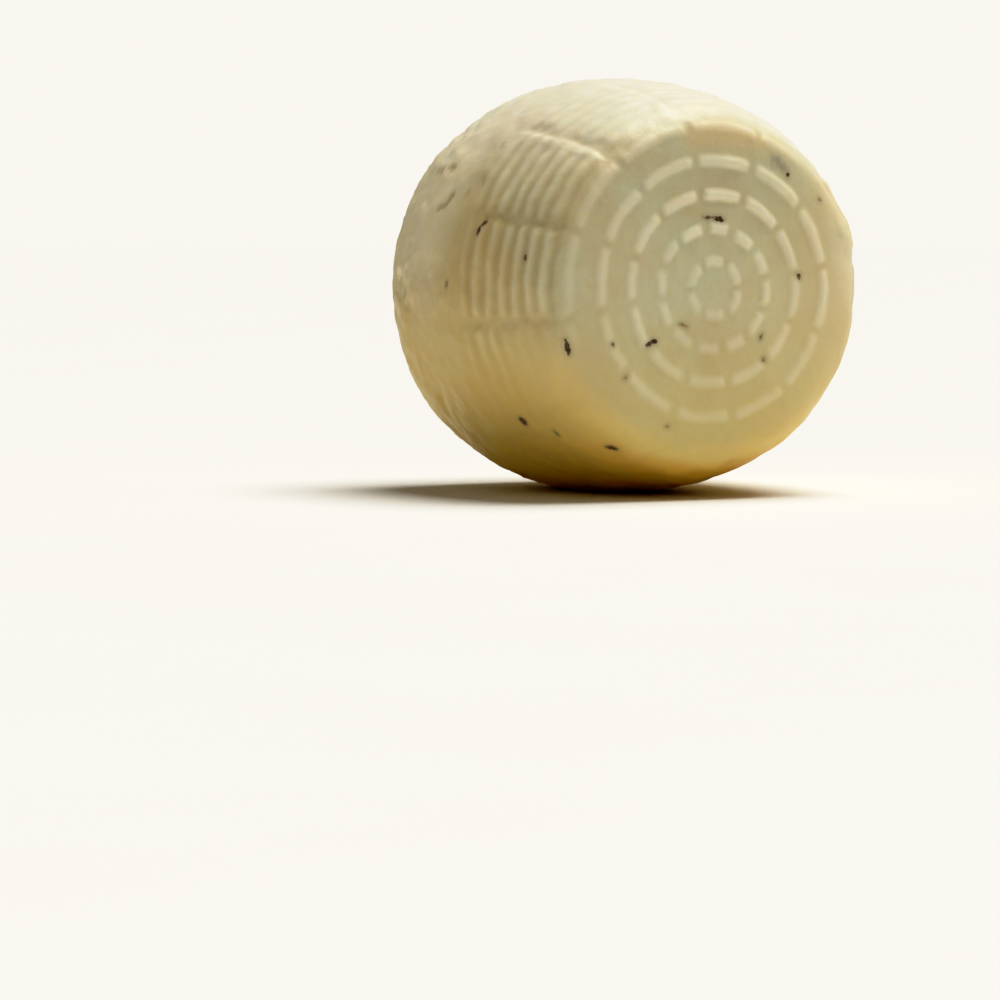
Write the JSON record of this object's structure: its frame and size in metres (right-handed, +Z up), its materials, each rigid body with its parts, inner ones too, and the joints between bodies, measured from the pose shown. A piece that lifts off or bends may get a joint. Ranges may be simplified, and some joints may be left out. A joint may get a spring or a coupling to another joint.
{
  "type": "caciotta cheese",
  "caption": "Small barrel-shaped caciotta cheese with truffle flecks, lying on its side, with the dashed rings and ribbed panels of its basket mould in low relief.",
  "frame": {"origin": "on the surface that the cheese lies on, under the middle of its box", "axes": "+Z up, the cheese's own axis along Y, and its best face towards -Y"},
  "size_m": [0.12, 0.1074, 0.1191],
  "materials": {
    "rind": "thin natural rind of a young pressed cheese: cream yellow, smooth and slightly waxy, satin, with dark truffle flecks"
  },
  "bodies": {
    "root": {"caciotta": "rind"}
  },
  "joints": []
}
